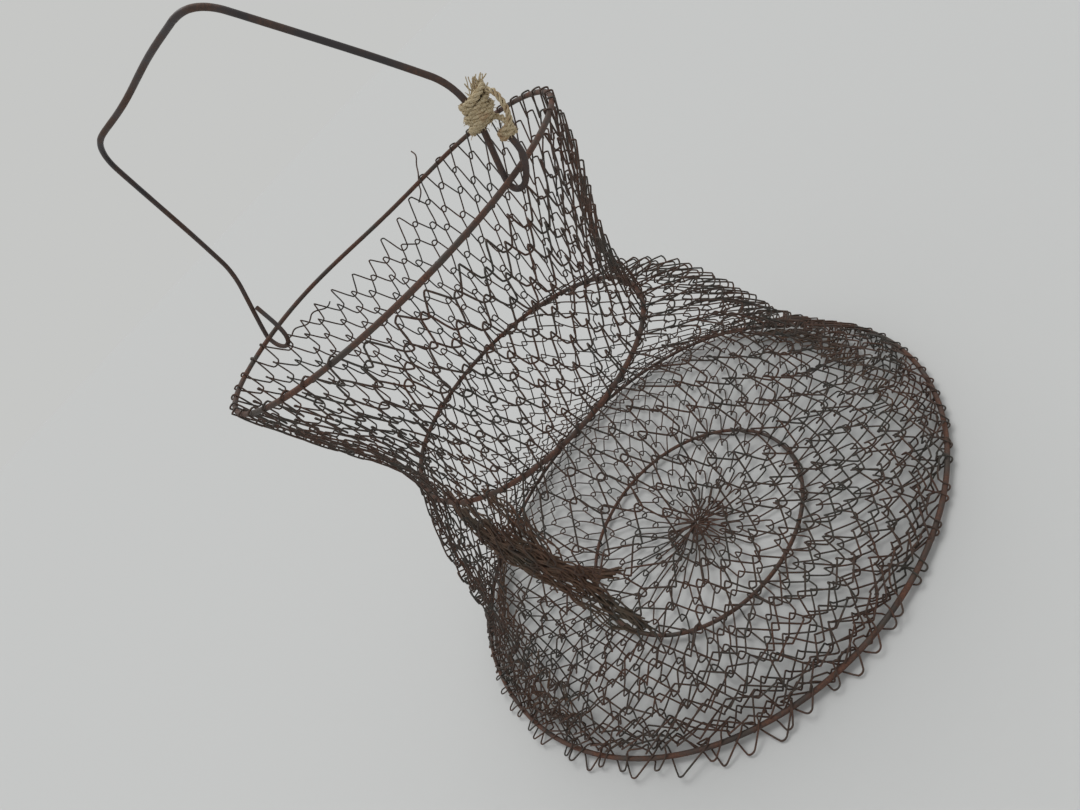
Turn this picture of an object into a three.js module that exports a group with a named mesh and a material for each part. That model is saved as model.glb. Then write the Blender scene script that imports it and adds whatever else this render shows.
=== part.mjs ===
// Collapsible wire minnow basket: round hoops, chain-link mesh rows and a bail.
// Millimetres, +Z up. The origin is on the ground, under the middle of the base ring.
// The bail's hooks lie along X, and the basket stands as pulled up by its bail.
import * as THREE from 'three';

// Hoops: diameters to the middle of the wire, heights above the base ring.
const BASE_DIAMETER = 305;
const NECK_DIAMETER = 153;
const RIM_DIAMETER = 203;
const FLOOR_DIAMETER = 140;
const CENTRE_DIAMETER = 11;
const NECK_HEIGHT = 131;
const RIM_HEIGHT = 232;
const HOOP_WIRE = 2.5;
const FLOOR_HOOP_WIRE = 2.2;
const CENTRE_HOOP_WIRE = 1.6;

// The slack mesh lets the upper hoops and the floor's middle sit off the base ring's axis.
const UPPER_OFFSET_X = -9.5;
const UPPER_OFFSET_Y = -11.5;
const FLOOR_OFFSET_X = 12;
const FLOOR_OFFSET_Y = -18;
const CENTRE_OFFSET_X = 19;
const CENTRE_OFFSET_Y = -20;

// Chain-link mesh: every row is one flattened spiral with this many bends round the basket. Inside the
// floor ring every second bend is left out.
const BENDS = 28;
const CENTRE_BENDS = BENDS / 2;
const MESH_WIRE = 1.2;
const MESH_LEG = 19.4;
const LEAST_RISE = MESH_LEG / 3;
const SLEEVE_ROWS = 6;
const WALL_ROWS = 11;
const FLOOR_ROWS = 6;
const CENTRE_ROWS = 3;
const CLEARANCE = 0.3;
const BEND_HALF_WIDTH = 0.9;
const BEND_SHARE = 0.06;
const LEAST_OVERLAP = 3.2;
const LINK_MARGIN = 1.15;
// The slack mesh stands off straight lines between its hoops: the sleeve is drawn in at its waist, and
// the wall swells outwards just below the neck and hangs hollow above the base.
const SLEEVE_WAIST = 5.5;
const WALL_BULGE = 7;
const WALL_HOLLOW = 6;
// The floor's bends sit this share of a bend on from the wall's, so that their legs pass at the corner.
const FLOOR_TURN = 0.25;

// The top bends at each bail hook, and some on one side of it, have come off the rim and hang free.
const FREE_BY_LEFT_HOOK = 6;
const FREE_BY_RIGHT_HOOK = 4;
const FREE_DROP = 18;

// Bail: one wire, measured from the middle between its hooks, which sit beside the rim's middle. Its
// legs lean back from the hooks to the kinks, and from there forward to the straight grip.
const BAIL_WIRE = 2.5;
const BAIL_OFFSET = 16;
const BAIL_HEIGHT = 112;
const GRIP_HALF = 55.5;
const GRIP_FORWARD = 13.5;
const GRIP_CORNER = 15;
const KINK_HEIGHT = 35;
const KINK_INSET = 2.3;
const KINK_BACK = 10;
const KINK_CORNER = 10;
// Each hook is a long loop: the leg passes close by the rim wire, and the tail comes back up to the leg.
const HOOK_SEAT = (HOOP_WIRE + BAIL_WIRE) / 2 + CLEARANCE;
const HOOK_BEND = 5.5;
const HOOK_DEPTH = 10;
const HOOK_SHANK = 8;
const HOOK_CLOSE = 16;
const HOOK_TAIL = 20;

// Twine tied round the leg and the tail of the hook on +X.
const TWINE = 2.8;
const TWINE_TURNS = 3;
const TWINE_RISE = 3.6;
const TWINE_START = 15;
const TWINE_FLATNESS = 2.5;
const TWINE_LOWER_END = new THREE.Vector3(4.8, -10.8, -1.2);
const TWINE_UPPER_END = new THREE.Vector3(3.6, 7.2, 9.6);

const HOOP_SIDES = 6;
const MESH_SIDES = 3;
const BAIL_SIDES = 8;
const TWINE_SIDES = 5;
const STEPS_PER_TURN = 12;
const STEPS_PER_CORNER = 5;
const MITRE_LIMIT = 1.5;
const RIM_SEGMENTS = 44;
const NECK_SEGMENTS = 40;
const BASE_SEGMENTS = 56;
const FLOOR_SEGMENTS = 40;
const CENTRE_SEGMENTS = 16;

function paint(color, roughness, metalness) {
  return new THREE.MeshStandardMaterial({ color, roughness, metalness });
}

const hoopPaint = () => paint(0x4a3428, 0.85, 0.45);
const meshPaint = () => paint(0x3c322a, 0.85, 0.45);
const bailPaint = () => paint(0x2f2926, 0.7, 0.6);
const twinePaint = () => paint(0xb49b72, 1, 0);

const basket = new THREE.Group();
const standing = new THREE.Group();
basket.add(standing);

function addPiece(name, geometry, material, parent = standing) {
  const mesh = new THREE.Mesh(geometry, material);
  mesh.name = name;
  parent.add(mesh);
  return mesh;
}

// Sweeps a flat-sided section along the points. Each section is square to the bend's middle line,
// stretched at a bend to keep the wire's thickness, and turned so that one flat looks along facing.
function wireGeometry(points, diameter, sides, closed, facing) {
  const count = points.length;
  const positions = [];
  const indices = [];
  for (let i = 0; i < count; i += 1) {
    const before = points[closed ? (i + count - 1) % count : Math.max(i - 1, 0)];
    const after = points[closed ? (i + 1) % count : Math.min(i + 1, count - 1)];
    const arriving = points[i].clone().sub(before).normalize();
    const leaving = after.clone().sub(points[i]).normalize();
    const along = arriving.clone().add(leaving).normalize();
    const flat = facing(i).clone().addScaledVector(along, -facing(i).dot(along)).normalize();
    const side = new THREE.Vector3().crossVectors(along, flat);
    const inward = leaving.clone().sub(arriving);
    const turned = inward.lengthSq() > 1e-9;
    const stretch = turned ? Math.min(MITRE_LIMIT, 1 / Math.max(along.dot(leaving), 1e-3)) : 1;
    if (turned) inward.normalize();
    for (let k = 0; k < sides; k += 1) {
      const angle = ((2 * k + 1) / sides) * Math.PI;
      const corner = flat.clone().multiplyScalar(Math.cos(angle)).addScaledVector(side, Math.sin(angle));
      corner.addScaledVector(inward, turned ? corner.dot(inward) * (stretch - 1) : 0);
      positions.push(...points[i].clone().addScaledVector(corner, diameter / 2).toArray());
    }
  }
  const spans = closed ? count : count - 1;
  for (let i = 0; i < spans; i += 1) {
    const here = i * sides;
    const next = ((i + 1) % count) * sides;
    for (let k = 0; k < sides; k += 1) {
      const m = (k + 1) % sides;
      indices.push(here + k, here + m, next + m, here + k, next + m, next + k);
    }
  }
  if (!closed) {
    const last = (count - 1) * sides;
    for (let k = 1; k < sides - 1; k += 1) {
      indices.push(0, k + 1, k, last, last + k, last + k + 1);
    }
  }
  const geometry = new THREE.BufferGeometry();
  geometry.setAttribute('position', new THREE.Float32BufferAttribute(positions, 3));
  geometry.setIndex(indices);
  geometry.computeVertexNormals();
  return geometry;
}

// A hoop's place and wire, and what the mesh wire needs to go round it.
function hoop(x, y, z, diameter, wire) {
  const wrap = (wire + MESH_WIRE) / 2 + CLEARANCE;
  return { centre: new THREE.Vector3(x, y, z), radius: diameter / 2, wire, wrap };
}

const base = hoop(0, 0, 0, BASE_DIAMETER, HOOP_WIRE);
const neck = hoop(UPPER_OFFSET_X, UPPER_OFFSET_Y, NECK_HEIGHT, NECK_DIAMETER, HOOP_WIRE);
const rim = hoop(UPPER_OFFSET_X, UPPER_OFFSET_Y, RIM_HEIGHT, RIM_DIAMETER, HOOP_WIRE);
const floor = hoop(FLOOR_OFFSET_X, FLOOR_OFFSET_Y, 0, FLOOR_DIAMETER, FLOOR_HOOP_WIRE);
const centre = hoop(CENTRE_OFFSET_X, CENTRE_OFFSET_Y, 0, CENTRE_DIAMETER, CENTRE_HOOP_WIRE);

function addHoop(name, ring, segments) {
  const geometry = new THREE.TorusGeometry(ring.radius, ring.wire / 2, HOOP_SIDES, segments);
  addPiece(name, geometry, hoopPaint()).position.copy(ring.centre);
}

const smoothstep = (value) => THREE.MathUtils.smoothstep(value, 0, 1);
const outward = (angle) => new THREE.Vector3(Math.cos(angle), Math.sin(angle), 0);

// How far the free top edge hangs below the rim at an angle, as a share of FREE_DROP.
function freeShare(angle) {
  const place = THREE.MathUtils.euclideanModulo((angle / (2 * Math.PI)) * BENDS, BENDS);
  const beside = (Math.asin(BAIL_OFFSET / rim.radius) / (2 * Math.PI)) * BENDS;
  const left = Math.round(BENDS / 2 + beside);
  const right = Math.round(BENDS - beside);
  const spans = [[left - FREE_BY_LEFT_HOOK, left + 1], [right - FREE_BY_RIGHT_HOOK, right + 1]];
  let share = 0;
  for (const [from, to] of spans) {
    for (const turned of [place, place + BENDS]) {
      share = Math.max(share, smoothstep(Math.min(turned - from, to - turned) + 1));
    }
  }
  return share;
}

// A band of mesh between two hoops, and where its rows meet. A row is taller where the mesh is
// drawn in and shorter where it is spread, because every leg has the same length.
function meshBand(upper, lower, rows, bends, drop, standOff) {
  const weights = [];
  for (let row = 0; row < rows; row += 1) {
    const radius = THREE.MathUtils.lerp(upper.radius, lower.radius, (row + 0.5) / rows);
    const reach = (Math.PI * radius) / bends;
    weights.push(Math.sqrt(Math.max(MESH_LEG ** 2 - reach ** 2, LEAST_RISE ** 2)));
  }
  const total = weights.reduce((sum, weight) => sum + weight, 0);
  const levels = [0];
  for (const weight of weights) levels.push(levels[levels.length - 1] + weight / total);
  levels[rows] = 1;
  return { upper, lower, rows, bends, levels, drop, standOff };
}

// How far a band stands off the straight line at a share of its way down, and the slope of that.
const straight = () => ({ off: 0, slope: 0 });
const waisted = (share) => ({
  off: -SLEEVE_WAIST * 4 * share * (1 - share),
  slope: -SLEEVE_WAIST * 4 * (1 - 2 * share),
});

// The wall's swelling is greatest at a fifth of the way down, and its hollow at two thirds.
const SWELLING_PEAK = 0.2 * 0.8 ** 4;
const HOLLOW_PEAK = (2 / 3) ** 2 / 3;
const swollen = (share) => ({
  off: (WALL_BULGE * share * (1 - share) ** 4) / SWELLING_PEAK
    - (WALL_HOLLOW * share ** 2 * (1 - share)) / HOLLOW_PEAK,
  slope: (WALL_BULGE * (1 - share) ** 3 * (1 - 5 * share)) / SWELLING_PEAK
    - (WALL_HOLLOW * (2 * share - 3 * share ** 2)) / HOLLOW_PEAK,
});

// The band at an angle and a share of its way down: a point on it, the way down, its outer side and
// the straight distance between its hoops there.
function bandLine(band, angle, share) {
  const point = band.upper.centre.clone().addScaledVector(outward(angle), band.upper.radius);
  const end = band.lower.centre.clone().addScaledVector(outward(angle), band.lower.radius);
  const chord = end.sub(point);
  const length = chord.length();
  const round = new THREE.Vector3(-Math.sin(angle), Math.cos(angle), 0);
  const side = new THREE.Vector3().crossVectors(chord, round).normalize();
  const { off, slope } = band.standOff(share);
  point.addScaledVector(chord, share).addScaledVector(side, off);
  const down = chord.addScaledVector(side, slope).normalize();
  const face = new THREE.Vector3().crossVectors(down, round).normalize();
  return { point, down, length, face };
}

function bandPoint(band, angle, share, beyond, depth) {
  const { point, down, face } = bandLine(band, angle, share);
  const sag = band.drop * freeShare(angle) * (1 - share) ** 2;
  return point.addScaledVector(down, beyond + sag).addScaledVector(face, depth);
}

// How far two rows' bends overlap where they meet: the wire has to fit in the wedge of the bend.
function linkOverlap(band, level, rowShare) {
  const { length } = bandLine(band, 0, level);
  const radius = THREE.MathUtils.lerp(band.upper.radius, band.lower.radius, level);
  const slope = (Math.PI * radius) / band.bends / (rowShare * length);
  const wedge = slope / Math.sqrt(1 + slope ** 2);
  return Math.max(LEAST_OVERLAP, ((MESH_WIRE + CLEARANCE) / wedge) * LINK_MARGIN);
}

// A leg leans back to the band's middle as it leaves a hoop, so its bend starts deeper than the hoop needs.
function wrapDepth(band, row, ring) {
  const { length } = bandLine(band, 0, band.levels[row]);
  const height = (band.levels[row + 1] - band.levels[row]) * length + ring.wrap;
  return ring.wrap / (1 - ring.wrap / height);
}

// The last wall row goes under the base ring and carries the basket. Its feet reach lower than the
// floor's first row, and a shoulder brings each leg round the outer side of the ring.
function footPoints(band, angle, halfBend, depth) {
  const { face } = bandLine(band, angle, 1);
  const inner = outward(angle - halfBend).multiplyScalar(base.radius - base.wrap).setZ(-depth);
  const outer = outward(angle + halfBend).multiplyScalar(base.radius + base.wrap).setZ(-depth);
  const shoulder = outward(angle + 2 * halfBend).multiplyScalar(base.radius).addScaledVector(face, depth);
  return [inner, outer, shoulder];
}

const floorBand = meshBand(base, floor, FLOOR_ROWS, BENDS, 0, straight);
const FOOT_DEPTH = wrapDepth(floorBand, 0, base) + MESH_WIRE / 2 + CLEARANCE;
const GROUND = -FOOT_DEPTH - MESH_WIRE / 4;
const DOWN = new THREE.Vector3(0, 0, -1);

// Sets the underside of every foot level with the ground, so that the basket stands on flat faces.
function flattenFeet(geometry) {
  const position = geometry.attributes.position;
  for (let i = 0; i < position.count; i += 1) {
    if (position.getZ(i) < -FOOT_DEPTH) position.setZ(i, GROUND);
  }
}

// One spiral of mesh. Upper bends cross from the outer to the inner side of the band; lower bends are
// plain points on the band's middle, or cross round the lower hoop in the last row.
function spiralRow(band, row, phase) {
  const last = row === band.rows - 1;
  const top = band.levels[row];
  const bottom = band.levels[row + 1];
  const pitch = (2 * Math.PI) / band.bends;
  const topDepth = row === 0 ? wrapDepth(band, row, band.upper) : MESH_WIRE + CLEARANCE;
  const rise = row === 0 ? band.upper.wrap : linkOverlap(band, top, bottom - top) / 2;
  const fall = last ? band.lower.wrap : linkOverlap(band, bottom, bottom - top) / 2;
  const points = [];
  const facings = [];
  const halfBend = (level) => {
    const radius = THREE.MathUtils.lerp(band.upper.radius, band.lower.radius, level);
    return Math.min(BEND_HALF_WIDTH / radius, BEND_SHARE * pitch);
  };
  // The wire turns over where it crosses the band, so its section does too and isn't twisted.
  let turn = 1;
  const add = (angle, share, beyond, depth) => {
    points.push(bandPoint(band, angle, share, beyond, depth));
    facings.push(bandLine(band, angle, share).face.multiplyScalar(turn));
  };
  for (let bend = 0; bend < band.bends; bend += 1) {
    const upperAngle = (bend + phase) * pitch;
    const lowerAngle = upperAngle + pitch / 2;
    add(upperAngle - halfBend(top), top, -rise, topDepth);
    turn = -turn;
    add(upperAngle + halfBend(top), top, -rise, -topDepth);
    if (last && band.lower === base) {
      points.push(...footPoints(band, lowerAngle, halfBend(bottom), FOOT_DEPTH));
      facings.push(DOWN, DOWN, bandLine(band, lowerAngle, bottom).face);
      turn = -turn;
    } else if (last) {
      const depth = wrapDepth(band, row, band.lower);
      add(lowerAngle - halfBend(bottom), bottom, fall, -depth);
      turn = -turn;
      add(lowerAngle + halfBend(bottom), bottom, fall, depth);
    } else {
      add(lowerAngle, bottom, fall, 0);
    }
  }
  const geometry = wireGeometry(points, MESH_WIRE, MESH_SIDES, true, (i) => facings[i]);
  if (last && band.lower === base) flattenFeet(geometry);
  return geometry;
}

// Rows in a band hook into each other, so each starts half a bend on from the one above. The rows on
// the two sides of a hoop sit half a bend apart on it.
function addBand(name, band, phase) {
  let start = phase;
  for (let row = 0; row < band.rows; row += 1) {
    addPiece(`${name}_row_${String(row + 1).padStart(2, '0')}`, spiralRow(band, row, start), meshPaint());
    start += 0.5;
  }
  return start + 0.5;
}

// Rounds a corner with a short arc of points, between the straight runs on its two sides.
function roundedCorner(before, corner, after, size) {
  const from = before.clone().sub(corner).setLength(size).add(corner);
  const to = after.clone().sub(corner).setLength(size).add(corner);
  return new THREE.QuadraticBezierCurve3(from, corner, to).getPoints(STEPS_PER_CORNER);
}

// A place on the bail's lower legs, which lean back as they rise.
const onLeg = (p, q) => new THREE.Vector3(p, (q / KINK_HEIGHT) * KINK_BACK, q);

// The hooks sit where the line between them cuts the rim ring.
const HOOK_REACH = Math.sqrt(rim.radius ** 2 - BAIL_OFFSET ** 2);
const KINK_REACH = HOOK_REACH - KINK_INSET;
const TAIL_SPACING = BAIL_WIRE + CLEARANCE;

// How far across a leg is at a height: straight beside the hook, and leaning to the kink above it.
function legAcross(side, height) {
  const seat = side * HOOK_REACH - HOOK_SEAT;
  const share = Math.max(0, height - HOOK_SHANK) / (KINK_HEIGHT - HOOK_SHANK);
  return THREE.MathUtils.lerp(seat, side * KINK_REACH, share);
}

// A hook goes down past the rim wire, round under it and up again, with its tail on the +X side.
function hookPoints(side) {
  const leg = legAcross(side, 0);
  const points = [onLeg(leg, HOOK_SHANK)];
  for (let step = 0; step <= STEPS_PER_TURN / 2; step += 1) {
    const angle = Math.PI + (step / STEPS_PER_TURN) * 2 * Math.PI;
    const across = leg + HOOK_BEND + HOOK_BEND * Math.cos(angle);
    points.push(onLeg(across, HOOK_BEND - HOOK_DEPTH + HOOK_BEND * Math.sin(angle)));
  }
  for (const height of [HOOK_CLOSE, HOOK_TAIL]) {
    points.push(onLeg(legAcross(side, height) + TAIL_SPACING, height));
  }
  return points;
}

function bailPoints() {
  const left = hookPoints(-1).reverse();
  const right = hookPoints(1);
  const corners = [
    onLeg(-KINK_REACH, KINK_HEIGHT),
    new THREE.Vector3(-GRIP_HALF, -GRIP_FORWARD, BAIL_HEIGHT),
    new THREE.Vector3(GRIP_HALF, -GRIP_FORWARD, BAIL_HEIGHT),
    onLeg(KINK_REACH, KINK_HEIGHT),
  ];
  const stops = [left[left.length - 1], ...corners, right[0]];
  const sizes = [KINK_CORNER, GRIP_CORNER, GRIP_CORNER, KINK_CORNER];
  const bends = corners.flatMap((corner, i) => roundedCorner(stops[i], corner, stops[i + 2], sizes[i]));
  return [...left, ...bends, ...right];
}

// The twine winds round the leg and the tail of the hook together, so its turns are ovals, and its two
// ends stand off.
function twinePoints() {
  const reach = (BAIL_WIRE + TWINE) / 2 + CLEARANCE;
  const half = TAIL_SPACING / 2 + CLEARANCE;
  const points = [];
  for (let step = 0; step <= TWINE_TURNS * STEPS_PER_TURN; step += 1) {
    const angle = (step / STEPS_PER_TURN) * 2 * Math.PI;
    const height = TWINE_START + (step / STEPS_PER_TURN) * TWINE_RISE;
    const cosine = Math.cos(angle);
    const run = half * Math.sign(cosine) * Math.min(1, Math.abs(cosine) * TWINE_FLATNESS) + reach * cosine;
    const point = onLeg(legAcross(1, height) + TAIL_SPACING / 2 + run, height);
    points.push(point.add(new THREE.Vector3(0, reach * Math.sin(angle), 0)));
  }
  points.unshift(points[0].clone().add(TWINE_LOWER_END));
  points.push(points[points.length - 1].clone().add(TWINE_UPPER_END));
  return points;
}

// The least gap between the turns of a wound cord, measured on its points from one turn to the next.
function leastGap(points, diameter) {
  let least = Infinity;
  for (let i = 0; i < points.length; i += 1) {
    for (let j = i + STEPS_PER_TURN / 2; j < points.length; j += 1) {
      least = Math.min(least, points[i].distanceTo(points[j]) - diameter);
    }
  }
  return least;
}

addHoop('rim_ring', rim, RIM_SEGMENTS);
addHoop('neck_ring', neck, NECK_SEGMENTS);
addHoop('base_ring', base, BASE_SEGMENTS);
addHoop('floor_ring', floor, FLOOR_SEGMENTS);
addHoop('centre_ring', centre, CENTRE_SEGMENTS);

let phase = addBand('sleeve', meshBand(rim, neck, SLEEVE_ROWS, BENDS, FREE_DROP, waisted), 0);
phase = addBand('wall', meshBand(neck, base, WALL_ROWS, BENDS, 0, swollen), phase);
phase = addBand('floor', floorBand, phase + FLOOR_TURN);
const centreBand = meshBand(floor, centre, CENTRE_ROWS, CENTRE_BENDS, 0, straight);
addBand('centre', centreBand, (phase * CENTRE_BENDS) / BENDS);
standing.position.z = -GROUND;

const bailGroup = new THREE.Group();
bailGroup.position.copy(rim.centre);
bailGroup.position.y -= BAIL_OFFSET;
standing.add(bailGroup);
const acrossBail = () => new THREE.Vector3(0, 1, 0);
const upBail = () => new THREE.Vector3(0, 0, 1);
const bailWire = wireGeometry(bailPoints(), BAIL_WIRE, BAIL_SIDES, false, acrossBail);
addPiece('bail', bailWire, bailPaint(), bailGroup);
const twine = twinePoints();
const twineCord = wireGeometry(twine, TWINE, TWINE_SIDES, false, upBail);
addPiece('twine_tie', twineCord, twinePaint(), bailGroup);

console.log(`twine_tie: least gap between turns ${leastGap(twine, TWINE).toFixed(2)} mm`);

export default basket;
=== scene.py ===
"""Looks of a collapsible wire minnow basket: rusted hoops, chain-link mesh, a bent bail and frayed twine.

Lengths are in millimetres until a piece is made. Angles are in degrees, counted from +X about +Z.
"""

import math
from dataclasses import dataclass

import bmesh
import bpy
import numpy as np
from mathutils import Matrix, Vector


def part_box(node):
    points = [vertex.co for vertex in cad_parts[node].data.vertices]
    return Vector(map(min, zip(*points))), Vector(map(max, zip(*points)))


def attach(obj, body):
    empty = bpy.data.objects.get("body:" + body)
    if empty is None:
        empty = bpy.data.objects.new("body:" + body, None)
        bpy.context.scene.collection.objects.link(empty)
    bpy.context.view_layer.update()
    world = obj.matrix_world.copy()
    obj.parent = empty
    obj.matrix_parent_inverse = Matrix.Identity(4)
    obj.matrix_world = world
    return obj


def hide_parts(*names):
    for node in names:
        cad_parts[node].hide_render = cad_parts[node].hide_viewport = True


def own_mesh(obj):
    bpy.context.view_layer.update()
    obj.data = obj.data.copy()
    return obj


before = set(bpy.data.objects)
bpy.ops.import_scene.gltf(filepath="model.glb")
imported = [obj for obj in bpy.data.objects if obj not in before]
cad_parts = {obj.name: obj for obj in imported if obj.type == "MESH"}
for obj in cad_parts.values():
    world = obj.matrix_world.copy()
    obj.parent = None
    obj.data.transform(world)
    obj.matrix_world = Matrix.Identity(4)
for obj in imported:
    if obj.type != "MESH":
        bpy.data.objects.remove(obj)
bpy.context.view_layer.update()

MM = 0.001

# Camera, at the photograph's place and turned on its side as the photograph is.
CAMERA_PLACE = (264.4, -240.9, 296.5)
CAMERA_LOOK = (-0.69100, 0.56962, -0.44503)
CAMERA_UP = (0.21584, 0.75016, 0.62504)
IMAGE_WIDTH = 1080
FOCAL_PIXELS = 734.4
SENSOR_WIDTH = 36.0

# Hoops: the diameter of each wire, and how far a hoop wavers, in waves. Some are dented, which is given as
# the angle and the width of the dent, and how far it goes out and up.
HOOP_WIRES = {"rim_ring": 2.5, "neck_ring": 2.5, "base_ring": 2.5, "floor_ring": 2.2, "centre_ring": 1.6}
HOOP_SIDES = 12
HOOP_STEP = 2.5
LEAST_HOOP_STEPS = 24
HOOP_PITTING = 0.08
HOOP_WAVER = 0.4
HOOP_WAVES = (2, 3, 5)
HOOP_DENTS = {"rim_ring": ((132, 34, 0, -5),), "base_ring": ((70, 20, -7, 0), (208, 24, 5, 0))}

# Mesh: bends round the basket, rows from hoop to hoop, and the spiral wire that each row is made of. Inside
# the floor ring every second bend is left out. Here and below, two numbers for a size, share, length, width
# or lean are the least and the most of it.
BENDS = 44
CENTRE_BENDS = BENDS // 2
SLEEVE_ROWS = 10
WALL_ROWS = 22
FLOOR_ROWS = 11
CENTRE_ROWS = 6
MESH_WIRE = 0.9
MESH_SIDES = 5
MESH_LEG = 12.6
TIGHT_BEND = 1.4
ROUND_BEND = 3.0
WIDEST_BEND = 1.9
BEND_SIZES = (0.8, 1.2)
LEG_LEANS = (8, 75)
SPIRAL_DEPTH = 1.1
SLACK_DEPTH = 1.9
DEPTH_SHARES = (0.75, 1.25)
BEND_OVERLAP = 3.2
OVERLAP_SHARES = (0.8, 1.25)
HOOP_CLEARANCE = 0.2
BEND_STRAY = 0.7
LEAST_STRAY_RADIUS = 20.0
LEAST_ROW = MESH_LEG / 3
LEAST_HEIGHT = 0.5
# On the fuller side the rows lap like shingles: their lower bends stand out of the mesh by this much and
# their upper ones in, or the other way round where it is negative. Towards the base ring they lie flat.
WALL_SHINGLE = 2.4
SLEEVE_SHINGLE = -1.3
SHINGLE_POWER = 4

# Slack mesh stands off straight lines between its hoops: the sleeve is drawn in at its waist, and the wall
# swells below the neck and hangs hollow above the base. Both are fuller towards one angle, where a share of
# their hollow is eased, and the wall is flatter on the other side. Rows crowd together near the base ring,
# where they also stray the most. All of it sags and swells in waves: how many go round, how they shift on the
# way down, their height, and where they start.
SLEEVE_HOLLOW = 5.5
SLEEVE_FULLER = 1.0
SLEEVE_EASED = 0.3
WALL_BULGE = 6.0
WALL_HOLLOW = 7.0
WALL_FULLER = 1.2
WALL_FLATTER = 0.6
WALL_EASED = 0.4
FULLER_ANGLE = 50.0
SLACK_SWELL = 1.5
FLOOR_SWELL = 0.8
SWELL_WAVES = ((3, 5, 1.0, 0.0), (7, -9, 0.6, 1.3))
CROWDING = 0.73
CROWDING_POWER = 1.5
CROWDED_STRAY = 1.6
STRAY_POWER = 3
LAST_ROW = 2.0

# The top edge of the sleeve has come off the rim in places: how far it hangs below, by angle.
FREE_EDGE = ((108, 0), (120, 4), (135, 10), (150, 14), (165, 12), (178, 9), (187, 7), (193, 0),
             (298, 0), (305, 6), (313, 6), (315, 0), (317, 0), (319, 7), (330, 9), (345, 9), (358, 8),
             (367, 5), (373, 0))
LEAST_FREE = 2.5
FREE_SHARES = (0.8, 1.15)

# Broken wires at the free edge: one stands up from its foot, which is a share of the way down the sleeve. The
# other runs from angle to angle, below the edge and in waves, over so many radians. Its fall is the length of
# the sleeve.
STANDING_ANGLE = 121.0
STANDING_FOOT = 0.08
STANDING_WIRE = ((0, 0, 0), (2, 6, 3), (-1, 11, 6), (2, 15, 11), (-1, 21, 14), (2, 24, 18), (-2, 27, 21))
HANGING_WIRE = (168.0, 189.0)
HANGING_KNOTS = 14
HANGING_BELOW = 2.0
HANGING_WAVER = 1.6
HANGING_RADIANS = 14.0
HANGING_FALL = 103.0

# The creases in the wall: the mesh is gathered along lines, each knot with the width that it draws from. On
# a line, bends keep a small share of their distance and stray in depth, and one side is drawn from less far.
CREASES = (
    ((-49, -69, 129, 16), (-16, -87, 125, 34), (-1, -97, 112, 46), (11, -103, 96, 52), (24, -106, 79, 50),
     (35, -109, 61, 38), (45, -110, 49, 12)),
    ((10, -102, 95, 20), (31, -101, 86, 20), (46, -96, 78, 10)),
)
GATHER_LEAST = 0.25
SLACK_SIDE = 0.3
GATHER_DEPTH = 1.3
# Below this height the wall leans over more and more, until it lies flat on the ground.
STEEP_HEIGHT = 60.0

# Slack rows lie folded along the creases and heaped inside the base ring, as wires that zigzag within a
# width. Each fold has its line, its count of wires, and how far they sway as a share of the width. A wire
# starts at a share of the fold's length and goes on for another. The way along it is measured over a short
# distance to both sides.
FOLDS = (
    (((-50, -69, 131, 6), (-29, -84, 123, 9), (-3, -98, 111, 9), (15, -102, 93, 9), (21, -103, 84.5, 10),
      (32, -108, 65.5, 9), (46, -111, 46, 4.5)), 52, 0.3),
    (((10, -102, 95, 3), (20, -101, 88.6, 2.6), (32, -97, 79, 2.6), (41.5, -93, 72.6, 2.4)), 36, 0.3),
    (((-14, -76, 130, 5), (4, -87, 116, 8), (15, -99, 98, 7), (21, -103, 88, 5)), 20, 0.4),
    (((10, 137, 6, 3), (45, 127, 6, 5), (66, 115, 5, 7), (83, 102, 5, 8), (98, 84, 5, 7)), 15, 0.7),
    (((80, 108, 5, 9), (104, 82, 5, 11), (119, 57, 5, 11), (127, 30, 5, 9)), 4, 0.8),
    (((-147, -22, 9, 3), (-138, -50, 7, 5), (-122, -74, 7, 6), (-99, -98, 7, 7)), 13, 0.6),
    (((-116, -82, 7, 9), (-88, -107, 7, 11), (-55, -127, 7, 10), (-15, -137, 6, 8)), 9, 0.8),
)
FOLD_LEG = 9.0
FOLD_LEG_STRAY = 1.2
FOLD_STARTS = (0, 0.55)
FOLD_LENGTHS = (0.35, 0.8)
FOLD_SIDES = (-0.8, 0.8)
FOLD_SWAYS = (0.4, 1.2)
FOLD_DEPTH = 2.0
FOLD_DEPTH_STRAY = 0.5
FOLD_LOOK = 2
LEAST_FOLD_POINTS = 5

# The loops at the base ring: how far they stand out past it, by angle. A longer loop is wider, leans and
# droops more, and has a rounder tip, as far as that fits into its width. Straight legs lead to it.
LOOP_OUT = ((0, 0.3), (60, 0.3), (120, 1.2), (190, 0.8), (222, 0.8), (236, 5), (262, 6), (285, 7.5),
            (300, 7.5), (316, 6), (327, 4.5), (335, 2), (345, 0.4))
LOOP_STRAY = 0.11
LOOP_LENGTHS = (0.5, 1.15)
LOOP_HALF = 0.7
LOOP_WIDTHS = (0.8, 1.3)
LOOP_LEAN = -0.25
LOOP_LEAN_STRAY = 0.15
LOOP_DROOPS = (-1.75, 0.4)
DROOPING_LOOP = 3
LEAST_DROOP = 0.1
LOOP_CROSSING = 0.5
LOOP_TIP = 2.3
TIP_GROWTH = 0.06
TIP_FIT = 0.8
TIP_LEAST = 0.4
TIP_SIZES = (0.85, 1.2)
LOOP_LEG = 4.5
LEG_LENGTHS = (0.6, 1.2)
LEG_SPREAD = 1.5

# The floor's middle: its last bends are heaped within this radius, up to this height. Each bend is given by
# places across, outwards and up from its tip.
HEAP_RADIUS = 5.0
HEAP_SHARES = (0.1, 1.0)
HEAP_HEIGHT = 3.0
HEAP_STRAY = 4
HEAP_BEND = ((-0.8, 5.0, -0.5), (-0.7, 1.2, -0.2), (0.0, 0.0, 0.0), (0.7, 1.2, 0.2), (0.8, 5.0, 0.5))

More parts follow.
